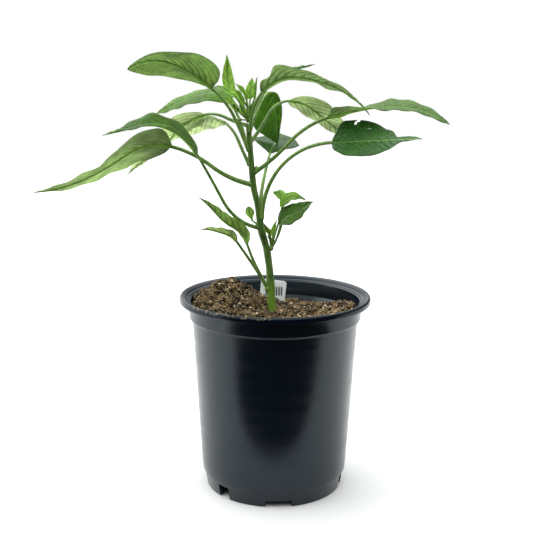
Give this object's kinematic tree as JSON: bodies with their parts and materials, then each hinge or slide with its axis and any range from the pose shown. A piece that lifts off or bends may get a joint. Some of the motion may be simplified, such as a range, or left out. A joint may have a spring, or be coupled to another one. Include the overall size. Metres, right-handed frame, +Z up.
{
  "type": "potted bell pepper plant",
  "caption": "Young bell pepper plant with broad pointed leaves on long stalks round a slender stem, growing from soil in a round tapered nursery pot with a rolled rim.",
  "frame": {"origin": "middle of the pot's underside, on the surface that the pot stands on", "axes": "+Z up along the pot's axis; -Y towards the viewer of the front, where the tag's face shows behind the stem; +X to that viewer's right"},
  "size_m": [0.3371, 0.1819, 0.3736],
  "materials": {
    "pot": "satin",
    "soil": "matte",
    "tag": "satin",
    "stem": "satin",
    "leaf": "satin",
    "young_leaf": "satin"
  },
  "bodies": {
    "root": {"pot": "pot", "soil": "soil", "plant_tag": "tag", "stem": "stem", "leaf_left_top": "leaf", "leaf_left_upper": "leaf", "leaf_left_folded": "leaf", "leaf_left_long": "leaf", "leaf_left_back_upper": "leaf", "leaf_left_back_lower": "leaf", "leaf_right_top": "leaf", "leaf_back_hanging": "leaf", "leaf_right_back": "leaf", "leaf_right_long": "leaf", "leaf_right_dark": "leaf", "leaf_back_short": "leaf", "shoot_tip": "young_leaf", "side_shoot_right": "young_leaf", "side_shoot_left": "young_leaf", "side_shoot_base": "young_leaf"}
  },
  "joints": []
}
